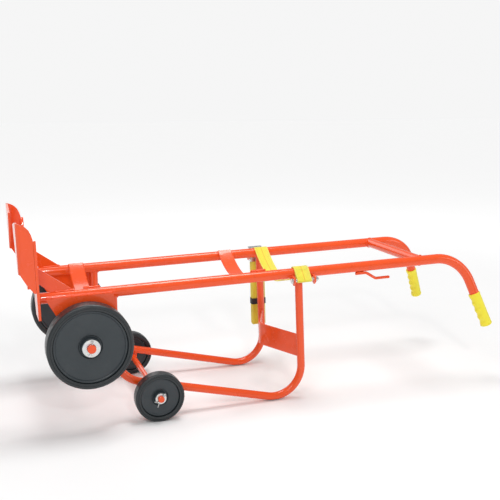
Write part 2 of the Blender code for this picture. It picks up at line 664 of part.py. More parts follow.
make_rails()
make_cross_members()
make_toe()
make_legs()
make_brackets()
for size, x, z, wheel in (("big", 0.0, AXLE_Z, BIG_WHEEL),
                          ("small", SMALL_AXLE_X, SMALL_AXLE_Z, SMALL_WHEEL)):
    make_axle("main_axle" if size == "big" else "small_axle", x, z, wheel)
    for word, side in SIDES.items():
        wheel_frames[size, word] = new_empty(f"{size}_wheel_pivot_{word}", (x, side * wheel["y"], z),
                                             (0, 0, 0), body_frame)
        make_wheel(size, x, z, wheel, word, side)
make_strap_brackets()
make_strap()
make_buckle()
make_pail_hook()
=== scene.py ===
"""Looks of the drum dolly: painted tube frame, rubber-tyred wheels, zinc hardware, vinyl grips and webbing.

Metres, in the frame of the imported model: origin on the floor under the middle, +X to the handles. Sizes
follow the CAD design, which is laid out from the main axle and from the axis of the sloping rails: x is
along from the axle, y across, z up from the floor and h up from the rails' axis.
"""
import math

import bmesh
import bpy
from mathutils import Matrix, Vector


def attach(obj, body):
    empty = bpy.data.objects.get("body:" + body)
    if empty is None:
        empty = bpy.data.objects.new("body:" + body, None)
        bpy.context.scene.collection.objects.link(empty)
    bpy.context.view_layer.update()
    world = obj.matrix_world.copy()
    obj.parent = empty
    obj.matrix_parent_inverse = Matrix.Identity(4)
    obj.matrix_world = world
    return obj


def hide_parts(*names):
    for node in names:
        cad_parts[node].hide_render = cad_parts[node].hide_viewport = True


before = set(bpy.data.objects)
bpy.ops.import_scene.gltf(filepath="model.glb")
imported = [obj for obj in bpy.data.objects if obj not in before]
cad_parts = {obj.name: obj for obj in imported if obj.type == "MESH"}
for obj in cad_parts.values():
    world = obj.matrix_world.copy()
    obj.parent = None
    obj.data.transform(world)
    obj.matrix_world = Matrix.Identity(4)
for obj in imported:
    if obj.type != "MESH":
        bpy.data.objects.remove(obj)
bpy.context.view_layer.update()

# ---------------------------------------------------------------- design sizes, as in the CAD
CENTRE_X = 0.6009            # the middle of the dolly, from the main axle
RAIL_Y = 0.190
RAIL_RADIUS = 0.0167
RAIL_Z = 0.4044
RAIL_PITCH = math.radians(1.46)
RAIL_START = -0.1342
HANDLE_START = 1.195
HANDLE_RADIUS = 0.130
HANDLE_TURN = math.radians(71.0)
HANDLE_STRAIGHT = 0.166
HANDLE_SPLAY = math.radians(11.5)
GRIP_LENGTH = 0.124
GRIP_RADIUS = 0.0193
GRIP_CAP = 0.004             # how far the grip's end stands past the tube's end
CROSS_TUBE_X = 1.132
CROSS_TUBE_INSET = 0.008     # how far inside the rails' axis the cross tube ends

LEG_RADIUS = 0.0127
LEG_FRONT_X = 0.083
LEG_REAR_X = 0.6897
LEG_REAR_Z = 0.300
LEG_REAR_LEAN = 0.0426
LEG_FRONT_BEND = 0.102
LEG_REAR_BEND = 0.095
LEG_TOP_DROP = 0.010         # how far below the rails' axis the uprights end
SKID_SLOPE = -0.2337
SKID_Z_AT_AXLE = 0.1024
SKID_DIRECTION = Vector((1, 0, SKID_SLOPE)).normalized()

AXLE_Z = 0.2654
SMALL_AXLE_X = 0.2085
SMALL_AXLE_Z = 0.0762
BIG = dict(name="big", axle="main_axle", x=0.0, z=AXLE_Z, y=0.2555, radius=0.127, half=0.029, step=0.109,
           web=0.018, hub=0.029, hub_half=0.033, bore=0.0127, washer=0.0265, end=0.302, pin_turn=8,
           stop=0.2135, crown=0.0012, shoulder=0.007, wire=0.00105, spread=1.0)
SMALL = dict(name="small", axle="small_axle", x=SMALL_AXLE_X, z=SMALL_AXLE_Z, y=0.2356, radius=0.0762,
             half=0.019, step=0.060, web=0.011, hub=0.0195, hub_half=0.022, bore=0.00955, washer=0.017,
             end=0.270, pin_turn=40, stop=0.203, crown=0.0, shoulder=0.005, wire=0.00140, spread=1.5)
BORE_GAP = 0.0003            # between an axle and what turns or sits on it, and between those along it
SLEEVE_WALL = 0.0032
SPACER_WALL = 0.005
WASHER_HALF = 0.0015
AXLE_CHAMFER = (0.0016, 0.0018)      # along the axle, and off its radius
PIN_INSET = 0.0055           # the cotter pin's hole, from the axle's end

DRUM_RADIUS = 0.298
SADDLE_XS = {"front": 0.022, "rear": 0.550}
SADDLE_WIDTH = 0.0508
SADDLE_THICK = 0.006
SADDLE_GAP = 0.0003          # between a saddle's underside and the rails

HOOK_RADIUS = 0.0048
HOOK_Y = -RAIL_Y - 0.004
HOOK_UNDER = -RAIL_RADIUS - HOOK_RADIUS - 0.0003
HOOK_LOW = -0.044
HOOK_BENDS = (0.016, 0.014)

STRAP_X = 0.690
STRAP_WIDTH = 0.050
STRAP_THICK = 0.0022
STRAP_GAP = 0.0005           # between the webbing's face and the rail or bolt that it goes round
STRAP_BOLT_Y = 0.226
STRAP_BOLT_H = -0.017
STRAP_BOLT_R = 0.005
SAG = 0.075
TAIL_Y = 0.2182
TAIL_DROP = 0.024            # from the far bolt down to the top of the folded tail
TAIL_PLY = 0.235
TAIL_PLIES = 5
TAIL_PITCH = 0.005

# ---------------------------------------------------------------- details that only the looks have
LAP = (0.012, 0.070)         # where the turned-back webbing starts and ends, from the bolt's loop
LAP_GAP = 0.0002
STITCH_EDGE = STRAP_WIDTH / 2 - 0.006
STITCH_ENDS = (0.12, 0.90)   # of the lap's length
STITCHES_A_RUN = 12
STITCH_SHARE = 0.76          # of its pitch that a stitch fills
STITCH_RADII = (0.00025, 0.00048, 0.00025)
KEEPER_H = -0.190
KEEPER_HALF = 0.011
KEEPER_THICK = 0.0008
KEEPER_GAP = 0.0009
KEEPER_CORNER = 0.0010
YARN_PITCH = 0.00145
PICK_PITCH = 0.0023
CENTRE_LINE_HALF = 0.0011
SELVEDGE = 0.0042
FLOOR_SIZE = 60

SIDES = {"near": -1, "far": 1}


def on_rail(x, y, h):
    """A point in the rails' sloping frame: x along from the main axle, h up from the rail axis."""
    c, s = math.cos(RAIL_PITCH), math.sin(RAIL_PITCH)
    return Vector((x * c - h * s - CENTRE_X, y, RAIL_Z + x * s + h * c))


def from_axle(x, y, z):
    """A point laid out level from the main axle, z above the floor."""
    return Vector((x - CENTRE_X, y, z))


# ---------------------------------------------------------------- materials
def start_material(name, roughness, metallic=0.0):
    material = bpy.data.materials.new(name)
    material.use_nodes = True
    tree = material.node_tree
    shader = tree.nodes["Principled BSDF"]
    shader.inputs["Roughness"].default_value = roughness
    shader.inputs["Metallic"].default_value = metallic
    return material, tree, shader


def add_node(tree, kind, settings=None, **links):
    """A node of that kind; each link is a socket, or a plain value for that input, named or as i0, i1."""
    made = tree.nodes.new(kind)
    for key, value in (settings or {}).items():
        setattr(made, key, value)
    for key, value in links.items():
        socket = made.inputs[int(key[1:])] if key[0] == "i" and key[1:].isdigit() else made.inputs[key]
        if isinstance(value, bpy.types.NodeSocket):
            tree.links.new(value, socket)
        else:
            socket.default_value = value
    return made


def object_place(tree):
    return add_node(tree, "ShaderNodeTexCoord").outputs["Object"]


def noise_of(tree, where, scale, detail=3.0, rough=0.55):
    return add_node(tree, "ShaderNodeTexNoise", Vector=where, Scale=scale, Detail=detail,
                    Roughness=rough).outputs["Fac"]


def ramp(tree, value, *stops):
    """A colour ramp from (position, colour) stops; a single number stands for a grey."""
    made = add_node(tree, "ShaderNodeValToRGB", Fac=value)
    elements = made.color_ramp.elements
    for element, (position, colour) in zip(elements, stops):
        element.position = position
        element.color = (*colour, 1) if isinstance(colour, tuple) else (colour, colour, colour, 1)
    return made.outputs["Color"]


def mixed(tree, fac, a, b):
    """Colour a where fac is 0, b where it is 1."""
    made = add_node(tree, "ShaderNodeMix", {"data_type": "RGBA"}, i0=fac)
    for socket, value in ((made.inputs[6], a), (made.inputs[7], b)):
        if isinstance(value, bpy.types.NodeSocket):
            tree.links.new(value, socket)
        else:
            socket.default_value = (*value, 1)
    return made.outputs[2]


def maths(tree, operation, a, b=0.0, clamp=False):
    return add_node(tree, "ShaderNodeMath", {"operation": operation, "use_clamp": clamp},
                    i0=a, i1=b).outputs[0]


def bumped(tree, shader, *layers):
    """Stack bump layers of (height socket, depth in metres)."""
    normal = None
    for height, depth in layers:
        made = add_node(tree, "ShaderNodeBump", Height=height, Strength=1.0, Distance=depth)
        if normal is not None:
            tree.links.new(normal, made.inputs["Normal"])
        normal = made.outputs["Normal"]
    tree.links.new(normal, shader.inputs["Normal"])


def orange_paint():
    """Glossy sprayed enamel: orange peel, faint dirt, and bare steel where anything meets the floor."""
    deep, light = (0.81, 0.074, 0.010), (0.88, 0.096, 0.015)
    dirt, steel = (0.40, 0.034, 0.010), (0.33, 0.31, 0.29)
    rub_fade = 75.0              # per metre, so bare steel ends about 13 mm above the floor
    material, tree, shader = start_material("orange_enamel", 0.25)
    where = object_place(tree)
    tint = mixed(tree, noise_of(tree, where, 5.0), deep, light)
    grime = ramp(tree, noise_of(tree, where, 26.0, 8.0, 0.7), (0.60, 0.0), (0.78, 0.45))
    colour = mixed(tree, grime, tint, dirt)
    height = add_node(tree, "ShaderNodeSeparateXYZ", Vector=where).outputs["Z"]
    low = maths(tree, "SUBTRACT", 1.0, maths(tree, "MULTIPLY", height, rub_fade), True)
    rubbed = ramp(tree, maths(tree, "MULTIPLY", low, noise_of(tree, where, 160.0, 6.0)),
                  (0.30, 0.0), (0.40, 1.0))
    tree.links.new(mixed(tree, rubbed, colour, steel), shader.inputs["Base Color"])
    gloss = ramp(tree, noise_of(tree, where, 40.0, 6.0), (0.35, 0.17), (0.75, 0.33))
    tree.links.new(mixed(tree, rubbed, gloss, (0.5, 0.5, 0.5)), shader.inputs["Roughness"])
    tree.links.new(rubbed, shader.inputs["Metallic"])
    shader.inputs["Specular IOR Level"].default_value = 0.28
    shader.inputs["Coat Weight"].default_value = 0.50
    shader.inputs["Coat Roughness"].default_value = 0.04
    bumped(tree, shader, (noise_of(tree, where, 420.0, 2.0), 0.00006),
           (noise_of(tree, where, 60.0, 2.0), 0.00012), (rubbed, 0.00008))
    return material


def moulded_black(name, colour, roughness, grain):
    """Moulded rubber or plastic: fine grain, dusty patches and faint flow marks."""
    material, tree, shader = start_material(name, roughness)
    where = object_place(tree)
    dust = ramp(tree, noise_of(tree, where, 14.0, 8.0, 0.65), (0.46, 0.0), (0.84, 0.45))
    dusty = tuple(0.6 * c + 0.035 for c in colour)
    tree.links.new(mixed(tree, dust, colour, dusty), shader.inputs["Base Color"])
    low, high = roughness - 0.08, roughness + 0.14
    tree.links.new(ramp(tree, noise_of(tree, where, 70.0, 5.0), (0.35, low), (0.72, high)),
                   shader.inputs["Roughness"])
    bumped(tree, shader, (noise_of(tree, where, grain), 0.00010),
           (noise_of(tree, where, 30.0, 4.0), 0.00025))
    return material


def zinc_plate():
    """Bright zinc: spangled tint, a fine grain and dulled patches."""
    cool, warm = (0.60, 0.62, 0.66), (0.80, 0.79, 0.74)
    spangle = 0.06
    material, tree, shader = start_material("zinc_plate", 0.3, 1.0)
    where = object_place(tree)
    cells = add_node(tree, "ShaderNodeTexVoronoi", Vector=where, Scale=240.0).outputs["Color"]
    tint = mixed(tree, noise_of(tree, where, 60.0, 4.0), cool, warm)
    tree.links.new(mixed(tree, spangle, tint, cells), shader.inputs["Base Color"])
    tree.links.new(ramp(tree, noise_of(tree, where, 190.0, 6.0), (0.3, 0.20), (0.75, 0.42)),
                   shader.inputs["Roughness"])
    bumped(tree, shader, (noise_of(tree, where, 700.0), 0.00005))
    return material


def grip_vinyl():
    """Yellow dipped vinyl: satin, finely stippled, smudged by hands."""
    deep, light, dirt = (0.87, 0.75, 0.028), (0.92, 0.82, 0.050), (0.46, 0.36, 0.05)
    material, tree, shader = start_material("grip_vinyl", 0.4)
    where = object_place(tree)
    tint = mixed(tree, noise_of(tree, where, 22.0, 4.0), deep, light)
    smudge = ramp(tree, noise_of(tree, where, 55.0, 8.0, 0.7), (0.58, 0.0), (0.80, 0.40))
    tree.links.new(mixed(tree, smudge, tint, dirt), shader.inputs["Base Color"])
    tree.links.new(ramp(tree, noise_of(tree, where, 90.0, 5.0), (0.35, 0.30), (0.72, 0.52)),
                   shader.inputs["Roughness"])
    shader.inputs["Subsurface Weight"].default_value = 0.06
    shader.inputs["Subsurface Radius"].default_value = (0.004, 0.003, 0.001)
    bumped(tree, shader, (noise_of(tree, where, 900.0, 2.0), 0.00012),
           (noise_of(tree, where, 120.0), 0.00012))
    return material


def yellow_webbing():
    """Woven polyester: ribs across, yarns along, paler selvedges, an orange centre line, and painted shade in
    the gaps between yarns.
    """
    deep, light, gap_shade_colour = (0.90, 0.80, 0.055), (0.96, 0.89, 0.090), (0.76, 0.60, 0.030)
    selvedge, orange = (0.96, 0.86, 0.16), (0.85, 0.36, 0.02)
    material, tree, shader = start_material("yellow_webbing", 0.72)
    where = object_place(tree)
    uv = add_node(tree, "ShaderNodeUVMap", {"uv_map": "weave"}).outputs["UV"]
    parts = add_node(tree, "ShaderNodeSeparateXYZ", Vector=uv)
    across, along = parts.outputs["X"], parts.outputs["Y"]
    yarn = maths(tree, "SINE", maths(tree, "MULTIPLY", across, 2 * math.pi / YARN_PITCH))
    half_step = maths(tree, "MULTIPLY", maths(tree, "SIGN", yarn), math.pi / 2)
    pick = maths(tree, "SINE", maths(tree, "ADD", maths(tree, "MULTIPLY", along, 2 * math.pi / PICK_PITCH),
                                     half_step))
    weave = maths(tree, "MULTIPLY", maths(tree, "ABSOLUTE", yarn), maths(tree, "ABSOLUTE", pick))
    off_centre = maths(tree, "ABSOLUTE", maths(tree, "SUBTRACT", across, STRAP_WIDTH / 2))
    line = maths(tree, "LESS_THAN", off_centre, CENTRE_LINE_HALF)
    rims = maths(tree, "GREATER_THAN", off_centre, STRAP_WIDTH / 2 - SELVEDGE)
    soft = noise_of(tree, where, 34.0, 5.0)
    # painted shade: where the weave is low, in the gaps between yarns, the colour is darker
    painted_gap_shade = maths(tree, "MULTIPLY", maths(tree, "SUBTRACT", 1.0, weave, True), 0.55)
    shaded = mixed(tree, painted_gap_shade, mixed(tree, soft, deep, light), gap_shade_colour)
    edged = mixed(tree, maths(tree, "MULTIPLY", rims, 0.55), shaded, selvedge)
    tree.links.new(mixed(tree, maths(tree, "MULTIPLY", line, 0.8), edged, orange),
                   shader.inputs["Base Color"])
    shader.inputs["Sheen Weight"].default_value = 0.25
    shader.inputs["Sheen Roughness"].default_value = 0.4
    tree.links.new(ramp(tree, soft, (0.3, 0.62), (0.7, 0.80)), shader.inputs["Roughness"])
    bumped(tree, shader, (weave, 0.00035), (noise_of(tree, where, 260.0), 0.00012))
    return material


def fabric_thread(name, colour):
    """Sewing thread or elastic: short twisted fibres, with painted shade in the twist's grooves."""
    material, tree, shader = start_material(name, 0.7)
    where = object_place(tree)
    twist = add_node(tree, "ShaderNodeTexWave", Vector=where, Scale=420.0, Distortion=2.0).outputs["Fac"]
    groove_shade_colour = tuple(0.55 * c for c in colour)
    # painted shade: where the twist is low, in its grooves, the colour is darker
    tree.links.new(mixed(tree, twist, groove_shade_colour, colour), shader.inputs["Base Color"])
    tree.links.new(ramp(tree, noise_of(tree, where, 300.0), (0.3, 0.6), (0.7, 0.85)),
                   shader.inputs["Roughness"])
    bumped(tree, shader, (twist, 0.00012))
    return material


PAINT = orange_paint()
RUBBER = moulded_black("tyre_rubber", (0.018, 0.023, 0.026), 0.36, 650.0)
PLASTIC = moulded_black("wheel_plastic", (0.027, 0.036, 0.042), 0.36, 420.0)
ZINC = zinc_plate()
VINYL = grip_vinyl()
WEBBING = yellow_webbing()
THREAD = fabric_thread("stitch_thread", (0.90, 0.80, 0.30))
ELASTIC = fabric_thread("black_elastic", (0.030, 0.030, 0.034))


# ---------------------------------------------------------------- paths
def directions(points):
    """Unit tangents along a path."""
    spans = [(b - a).normalized() for a, b in zip(points, points[1:])]
    spans = [spans[0]] + spans + [spans[-1]]
    return [(a + b).normalized() for a, b in zip(spans, spans[1:])]


def path_length(points):
    return sum((b - a).length for a, b in zip(points, points[1:]))


def resample(points, count):
    """Evenly spaced points along a polyline, in count steps."""
    spans = [(b - a).length for a, b in zip(points, points[1:])]
    total = sum(spans)
    made = []
    index, walked = 0, 0.0
    for i in range(count + 1):
        target = total * i / count
        while index < len(spans) - 1 and walked + spans[index] < target:
            walked += spans[index]
            index += 1
        made.append(points[index].lerp(points[index + 1], min(1.0, (target - walked) / spans[index])))
    return made


def arc(cx, cy, radius, start, end, steps):
    """Points on an arc, angles in degrees."""
    angles = [math.radians(start + (end - start) * i / steps) for i in range(steps + 1)]
    return [(cx + radius * math.cos(a), cy + radius * math.sin(a)) for a in angles]


def fillet(before, corner, after, radius, steps):
    """Points of the arc that rounds a corner between two straight runs."""
    to_before = (before - corner).normalized()
    to_after = (after - corner).normalized()
    half = to_before.angle(to_after) / 2
    centre = corner + (to_before + to_after).normalized() * (radius / math.sin(half))
    first = (corner + to_before * (radius / math.tan(half)) - centre) / radius
    last = (corner + to_after * (radius / math.tan(half)) - centre) / radius
    return [centre + radius * first.slerp(last, i / steps) for i in range(steps + 1)]


def cross_section(line):
    """A line of (y, h) as points across the dolly, for lengths and tangents."""
    return [Vector((0, y, h)) for y, h in line]


# ---------------------------------------------------------------- mesh helpers
def loft(rings, wrap=False, uv=None):
    """A skin through closed rings of points; its ends are filled, unless the rings wrap round."""
    shape = bmesh.new()
    layer = shape.loops.layers.uv.new("weave") if uv else None
    verts = [[shape.verts.new(point) for point in ring] for ring in rings]
    last = len(rings) if wrap else len(rings) - 1
    size = len(rings[0])
    for i in range(last):
        for j in range(size):
            corners = ((i, j), (i, j + 1), (i + 1, j + 1), (i + 1, j))
            face = shape.faces.new([verts[a % len(rings)][b % size] for a, b in corners])
            if uv:
                for loop, (a, b) in zip(face.loops, corners):
                    loop[layer].uv = uv(a, b)
    if not wrap:
        shape.faces.new(verts[0][::-1])
        shape.faces.new(verts[-1])
    bmesh.ops.recalc_face_normals(shape, faces=shape.faces)
    return shape


def piece(name, shape, material, body="frame", stands_for=(), sharp=38):
    """Turn the mesh into a piece that rides on a body and stands for CAD nodes.

    An edge that turns more than sharp degrees is shaded sharp.
    """
    mesh = bpy.data.meshes.new(name)
    shape.to_mesh(mesh)
    shape.free()
    mesh.shade_smooth()
    mesh.set_sharp_from_angle(angle=math.radians(sharp))
    made = bpy.data.objects.new(name, mesh)
    made.data.materials.append(material)
    bpy.context.scene.collection.objects.link(made)
    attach(made, body)
    if stands_for:
        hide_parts(*stands_for)
    return made


def tube(points, radius, sides, closed=False):
    """A round section carried along a path without twist; radius is a number or one per point."""
    radii = radius if isinstance(radius, list) else [radius] * len(points)
    tangents = directions(points)
    if closed:
        tangents[0] = tangents[-1] = (tangents[0] + tangents[-1]).normalized()
    normal = tangents[0].orthogonal().normalized()
    rings = []
    for point, tangent, r in zip(points, tangents, radii):
        normal = (normal - tangent * normal.dot(tangent)).normalized()
        other = tangent.cross(normal)
        turns = (2 * math.pi * i / sides for i in range(sides))
        rings.append([point + r * (math.cos(a) * normal + math.sin(a) * other) for a in turns])
    return rings


def lathe(profile, centre, side, steps):
    """A closed profile of (radius, outward y) turned about an axle; side is -1 or 1."""
    rings = []
    for i in range(steps):
        a = 2 * math.pi * i / steps
        around = Vector((math.cos(a), 0, math.sin(a)))
        rings.append([centre + r * around + Vector((0, side * y, 0)) for r, y in profile])
    return loft(rings, wrap=True)


def band(line, x, width, thick):
    """A flat strip across the rails, and its length: its middle line in (y, h), centred along them at x.

    Its UVs are in metres, across from one edge and along from the start.
    """
    flat = cross_section(line)
    eased = thick * 0.42
    half = thick / 2
    w = width / 2
    section = [(-w + eased, half), (w - eased, half), (w, half - eased), (w, eased - half),
               (w - eased, -half), (-w + eased, -half), (-w, eased - half), (-w, half - eased)]
    run = [0.0]
    for a, b in zip(flat, flat[1:]):
        run.append(run[-1] + (b - a).length)
    rings = []
    for point, tangent in zip(flat, directions(flat)):
        normal = Vector((0, -tangent.z, tangent.y))
        rings.append([on_rail(x + a, point.y + b * normal.y, point.z + b * normal.z) for a, b in section])
    return loft(rings, uv=lambda i, j: (section[j % len(section)][0] + w, run[i])), run[-1]


def refined(node, material, width=0.0012, body="frame", sharp=30):
    """The CAD node's own shape, welded, with its edges rounded off by width."""
    shape = bmesh.new()
    shape.from_mesh(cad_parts[node].data)
    bmesh.ops.remove_doubles(shape, verts=shape.verts, dist=1e-6)
    bmesh.ops.dissolve_limit(shape, angle_limit=math.radians(1.0), verts=shape.verts, edges=shape.edges)
    made = piece(node + "_finish", shape, material, body, (node,), sharp)
    bevel = made.modifiers.new("edges", "BEVEL")
    bevel.width = width
    bevel.segments = 3
    bevel.limit_method = "ANGLE"
    bevel.angle_limit = math.radians(38)
    bevel.harden_normals = True


def weld(name, points, size, closed=False):
    """A run of weld bead: a rippled, slightly uneven cord of metal under the paint."""
    step, ripple, drift = 0.0011, 2 * math.pi / 3.6, 0.47
    length = path_length(points)
    dense = resample(points, max(8, int(length / step)))
    radii = [size * (1 + 0.10 * math.sin(i * ripple) + 0.06 * math.sin(i * drift + length * 90))
             for i in range(len(dense))]
    if not closed:
        for i, share in enumerate((0.45, 0.75, 0.92)):
            radii[i] *= share
            radii[-1 - i] *= share
    piece(name, loft(tube(dense, radii, 10, closed)), PAINT, sharp=70)


def ring_weld(name, place, size):
    """A bead all round a joint, where place(a) is its point at angle a."""
    count = 36
    weld(name, [place(2 * math.pi * i / count) for i in range(count + 1)], size, True)


# ---------------------------------------------------------------- frame tubes
def rail_path(side):
    """The rail's axis, its tip, and there its tangent and the direction to the inside of the bend."""
    steps = 28
    along = Vector((1, 0, 0))
    down = Vector((0, side * math.sin(HANDLE_SPLAY), -math.cos(HANDLE_SPLAY)))
    start = Vector((HANDLE_START, side * RAIL_Y, 0))
    turns = [HANDLE_TURN * i / steps for i in range(steps + 1)]
    bend = [start + HANDLE_RADIUS * (math.sin(a) * along + (1 - math.cos(a)) * down) for a in turns]
    tangent = math.cos(HANDLE_TURN) * along + math.sin(HANDLE_TURN) * down
    inward = -math.sin(HANDLE_TURN) * along + math.cos(HANDLE_TURN) * down
    tip = bend[-1] + tangent * HANDLE_STRAIGHT
    return [Vector((RAIL_START, side * RAIL_Y, 0))] + bend + [tip], tangent, inward


def turn_to_world(direction):
    return (on_rail(*direction) - on_rail(0, 0, 0)).normalized()


def make_rails():
    for word, side in SIDES.items():
        path, tangent, inward = rail_path(side)
        points = [on_rail(*p) for p in path]
        piece(f"side_rail_{word}_skin", loft(tube(points, RAIL_RADIUS, 40)), PAINT,
              stands_for=(f"side_rail_{word}",))
        make_grip(word, points[-1], turn_to_world(tangent), turn_to_world(inward))
    ends = [on_rail(CROSS_TUBE_X, side * (RAIL_Y - CROSS_TUBE_INSET), 0) for side in SIDES.values()]
    piece("rear_cross_tube_skin", loft(tube(ends, RAIL_RADIUS, 40)), PAINT,
          stands_for=("rear_cross_tube",))


def make_grip(word, tip, tangent, inward):
    """A dipped vinyl grip: domed end, a bead at each end, and finger hollows on its inner side.

    t is the distance from the closed end.
    """
    other = tangent.cross(inward)
    sides, steps = 48, 110
    dome_length = 0.006
    fingers_start, fingers_end, finger_pitch = 0.012, 0.114, 0.0255
    palm, hollow = 0.0021, 0.0034
    rings = []
    for i in range(steps + 1):
        t = i / steps * GRIP_LENGTH
        domed = min(1.0, t / dome_length)
        dome = math.sqrt(1 - (1 - domed) ** 2)
        bead = 0.0009 * math.exp(-((t - GRIP_LENGTH + 0.004) / 0.0022) ** 2)
        bead += 0.0007 * math.exp(-((t - 0.0075) / 0.0030) ** 2)
        base = (GRIP_RADIUS - 0.0005) * (0.42 + 0.58 * dome) + bead
        fingers = 0.0
        if fingers_start < t < fingers_end:
            fingers = 0.5 - 0.5 * math.cos(2 * math.pi * (t - fingers_start) / finger_pitch)
        ring = []
        for j in range(sides):
            a = 2 * math.pi * j / sides
            facing = max(0.0, math.cos(a)) ** 1.3
            r = base + facing * (palm - hollow * fingers) * domed
            ring.append(tip + tangent * (GRIP_CAP - t) + r * (math.cos(a) * inward + math.sin(a) * other))
        rings.append(ring)
    piece(f"handle_grip_{word}_skin", loft(rings), VINYL, stands_for=(f"handle_grip_{word}",), sharp=60)


def rail_height(x):
    """The rails' axis above the floor, x along the floor from the main axle."""
    return RAIL_Z + x * math.tan(RAIL_PITCH)


def leg_path(side):
    """Front upright, skid and rear upright of one leg tube."""
    on_skid = Vector((SMALL_AXLE_X, 0, SKID_Z_AT_AXLE))
    front_corner = on_skid + SKID_DIRECTION * ((LEG_FRONT_X - SMALL_AXLE_X) / SKID_DIRECTION.x)
    rise = LEG_REAR_X + LEG_REAR_LEAN * (LEG_REAR_Z - SKID_Z_AT_AXLE) - SMALL_AXLE_X
    rear_x = SMALL_AXLE_X + rise / (1 + LEG_REAR_LEAN * SKID_SLOPE)
    rear_corner = Vector((rear_x, 0, SKID_Z_AT_AXLE + SKID_SLOPE * (rear_x - SMALL_AXLE_X)))
    front_top = Vector((LEG_FRONT_X, 0, rail_height(LEG_FRONT_X) - LEG_TOP_DROP))
    top_z = rail_height(LEG_REAR_X) - LEG_TOP_DROP
    rear_top = Vector((LEG_REAR_X + LEG_REAR_LEAN * (LEG_REAR_Z - top_z), 0, top_z))
    points = [front_top]
    points += fillet(front_top, front_corner, rear_corner, LEG_FRONT_BEND, 20)
    points += fillet(front_corner, rear_corner, rear_top, LEG_REAR_BEND, 26)
    points += [rear_top]
    return [from_axle(p.x, side * RAIL_Y, p.z) for p in points]


def make_legs():
    for word, side in SIDES.items():
        piece(f"leg_tube_{word}_skin", loft(tube(leg_path(side), LEG_RADIUS, 36)), PAINT,
              stands_for=(f"leg_tube_{word}",))


def make_saddles():
    """Flat bars curved to the drum, lying on the rails, with a bead at each end."""
    outer = DRUM_RADIUS + SADDLE_THICK
    centre_h = math.sqrt((outer + SADDLE_GAP + RAIL_RADIUS) ** 2 - RAIL_Y ** 2)
    reach = math.degrees(math.asin(RAIL_Y / (outer + RAIL_RADIUS))) + 1.0
    bead_half = 0.024
    for word, x in SADDLE_XS.items():
        line = arc(0, centre_h, DRUM_RADIUS + SADDLE_THICK / 2, 270 - reach, 270 + reach, 72)
        shape, _ = band(line, x, SADDLE_WIDTH, SADDLE_THICK)
        piece(f"drum_saddle_{word}_skin", shape, PAINT, stands_for=(f"drum_saddle_{word}",))
        for side_word, side in SIDES.items():
            y, h = line[0 if side < 0 else -1]
            ends = [on_rail(x + e, y + side * 0.0012, h - 0.0015) for e in (-bead_half, bead_half)]
            weld(f"saddle_weld_{word}_{side_word}", ends, 0.0028)


# ---------------------------------------------------------------- plates, hardware and the pail hook
def make_plates():
    for word in SIDES:
        for node in ("toe_plate", "toe_claw", "toe_gusset", "wheel_bracket", "axle_lug"):
            refined(f"{node}_{word}", PAINT)
        for node in ("strap_ear_front", "strap_ear_rear"):
            refined(f"{node}_{word}", PAINT, 0.0008)
        for node in ("strap_bolt", "strap_nut"):
            refined(f"{node}_{word}", ZINC, 0.0006, sharp=34)
    refined("leg_brace", PAINT)
    refined("buckle_frame", ZINC, 0.0005)
    refined("cam_pin", ZINC, 0.0004, sharp=34)
    refined("cam_lever", ZINC, 0.0006, body="cam_lever")


def make_hook():
    """The pail hook: one bent rod with rounded bends and a domed tip, welded under the near rail."""
    xs_and_hs = ((0.888, HOOK_UNDER), (0.926, HOOK_UNDER), (0.961, HOOK_LOW), (1.014, HOOK_LOW))
    knots = [Vector((x, HOOK_Y, h)) for x, h in xs_and_hs]
    path = [knots[0]]
    path += fillet(knots[0], knots[1], knots[2], HOOK_BENDS[0], 8)
    path += fillet(knots[1], knots[2], knots[3], HOOK_BENDS[1], 8)
    dome = [math.radians(a) for a in (90, 72, 54, 36, 18, 4)]
    tips = [knots[3] - Vector((HOOK_RADIUS * (1 - math.cos(a)), 0, 0)) for a in dome]
    points = [on_rail(*p) for p in path + tips]
    radii = [HOOK_RADIUS] * len(path) + [HOOK_RADIUS * math.sin(a) for a in dome]
    piece("pail_hook_skin", loft(tube(points, radii, 24)), PAINT, stands_for=("pail_hook",), sharp=50)
    offset = 0.0042
    for name, y in (("outer", HOOK_Y - offset), ("inner", HOOK_Y + offset)):
        weld(f"hook_weld_{name}", [on_rail(x, y, HOOK_UNDER + offset) for x in (0.890, 0.918)], 0.0020)


# ---------------------------------------------------------------- welds
def weld_toe(word, side):
    """Beads on the bracket, the gusset, the claw and the rail's end."""
    flank_y = side * (RAIL_Y + RAIL_RADIUS + 0.0010)
    weld(f"bracket_weld_{word}", [on_rail(x, flank_y, 0.0014) for x in (-0.115, 0.079)], 0.0036)
    for name, offset in (("outer", side), ("inner", -side)):
        y = side * RAIL_Y + offset * 0.0044
        weld(f"gusset_foot_{name}_{word}", [on_rail(x, y, RAIL_RADIUS) for x in (-0.088, -0.030)], 0.0028)
        weld(f"gusset_head_{name}_{word}", [on_rail(-0.1338, y, h) for h in (0.048, 0.091)], 0.0026)
    weld(f"claw_weld_{word}", [on_rail(-0.1436, side * 0.2425, h) for h in (0.036, 0.174)], 0.0028)
    ring = RAIL_RADIUS + 0.0005
    ring_weld(f"rail_end_weld_{word}",
              lambda a: on_rail(-0.1335, side * RAIL_Y + ring * math.cos(a), ring * math.sin(a)), 0.0026)


